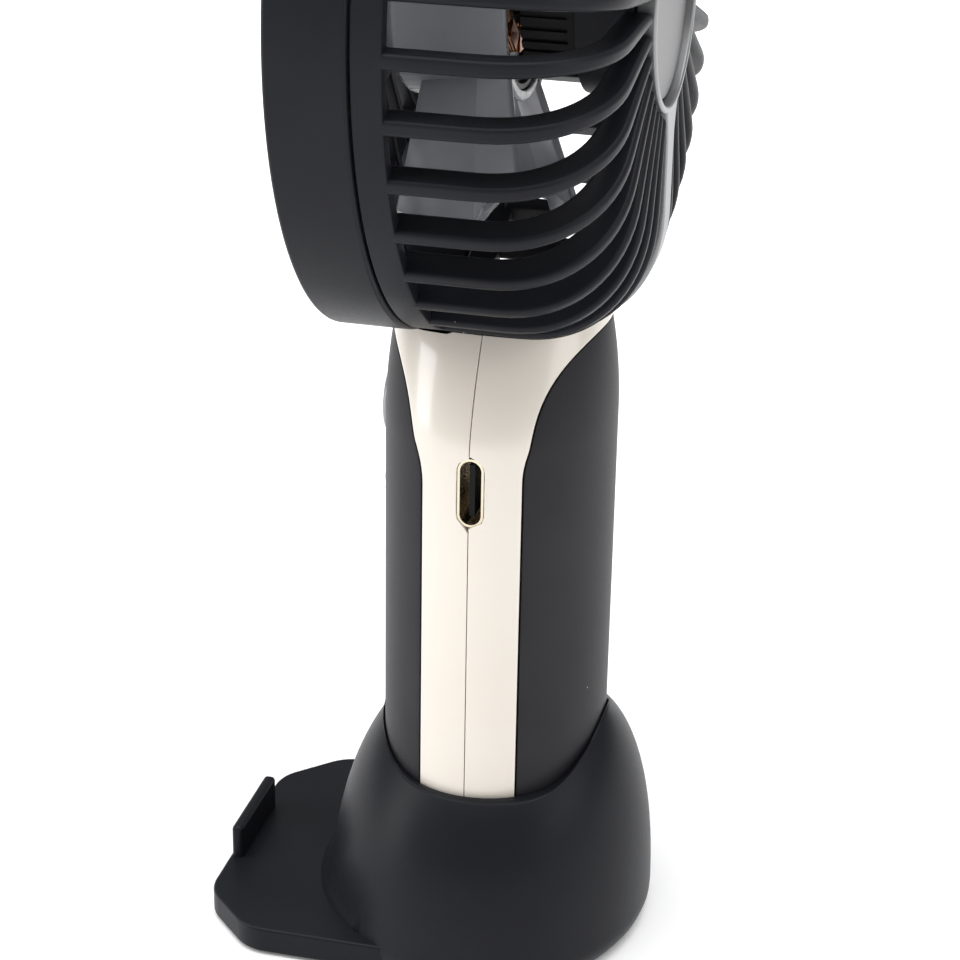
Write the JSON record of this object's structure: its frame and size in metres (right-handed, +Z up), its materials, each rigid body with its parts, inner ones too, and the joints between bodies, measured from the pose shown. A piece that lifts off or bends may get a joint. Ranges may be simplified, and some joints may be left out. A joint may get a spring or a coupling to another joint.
{
  "type": "handheld electric fan with dock",
  "caption": "Battery hand fan with a round caged head on an oval grip, standing in a dome-shaped dock that has a phone tray and lip.",
  "frame": {"origin": "on the underside of the dock's anti-slip pad, straight below the axis of the oval grip", "axes": "+Z up along the grip; -Y is where the air leaves and where the phone tray points; +X is the side with the charging socket"},
  "size_m": [0.0836, 0.0565, 0.1671],
  "materials": {
    "dock_plastic": "soft-touch charcoal black, low sheen",
    "pad_rubber": "matte grey-black foam rubber",
    "steel": "zinc-plated screw steel",
    "cream_plastic": "glossy warm cream",
    "panel_plastic": "soft-touch charcoal black, fine grain",
    "cell_wrap": "blue shrink sleeve",
    "nickel": "nickel strip",
    "board_laminate": "green solder mask",
    "socket_steel": "drawn stainless, slightly warm",
    "black_nylon": "black glass-filled nylon",
    "led_white": "white package",
    "clear_guide": "clear frosted guide",
    "silver_trim": "satin silver-grey lacquer",
    "lead_jacket": "red silicone insulation",
    "cage_plastic": "charcoal black, satin moulding",
    "gunmetal_disc": "brushed gunmetal",
    "bearing_steel": "ground steel",
    "core_steel": "stacked steel sheets",
    "copper_wire": "enamelled copper windings",
    "blackened_steel": "blackened pressed steel",
    "magnet": "bonded magnet, dull grey",
    "smoke_plastic": "translucent smoke-grey plastic"
  },
  "bodies": {
    "dock": {"dock_shell": "dock_plastic", "dock_base_plate": "dock_plastic", "dock_pad": "pad_rubber", "dock_screws": "steel"},
    "fan": {"handle_front_half": "cream_plastic", "handle_rear_half": "cream_plastic", "front_panel": "panel_plastic", "rear_panel": "panel_plastic", "handle_screws": "steel", "battery_cell": "cell_wrap", "battery_tabs": "nickel", "main_board": "board_laminate", "usb_shell": "socket_steel", "usb_tongue": "black_nylon", "tact_switch": "black_nylon", "status_leds": "led_white", "light_guide": "clear_guide", "motor_leads": "lead_jacket", "rear_cage": "cage_plastic", "rear_trim": "silver_trim", "rear_disc": "gunmetal_disc", "motor_base": "black_nylon", "motor_screws": "steel", "motor_bearings": "bearing_steel", "stator_core": "core_steel", "stator_coils": "copper_wire"},
    "rotor": {"impeller": "smoke_plastic", "rotor_bell": "blackened_steel", "magnet_ring": "magnet", "motor_shaft": "bearing_steel", "shaft_clip": "bearing_steel"},
    "front_cover": {"front_grille": "cage_plastic", "front_hub_ring": "silver_trim", "front_hub_disc": "gunmetal_disc"},
    "button": {"power_button": "silver_trim"}
  },
  "joints": [
    {"name": "fan_lift", "type": "slide", "parent": "dock", "child": "fan", "axis": [0, 0, 1], "range_m": [0, 0.06]},
    {"name": "impeller_spin", "type": "hinge", "parent": "fan", "child": "rotor", "pos_m": [0, 0, 0.1253], "axis": [0, 1, 0], "continuous": true},
    {"name": "front_grille_twist", "type": "hinge", "parent": "fan", "child": "front_cover", "pos_m": [0, 0, 0.1253], "axis": [0, 1, 0], "range_deg": [0, 13]},
    {"name": "power_button_press", "type": "slide", "parent": "fan", "child": "button", "axis": [0, 1, 0], "range_m": [0, 0.0005], "stiffness_N_per_m": 400}
  ]
}
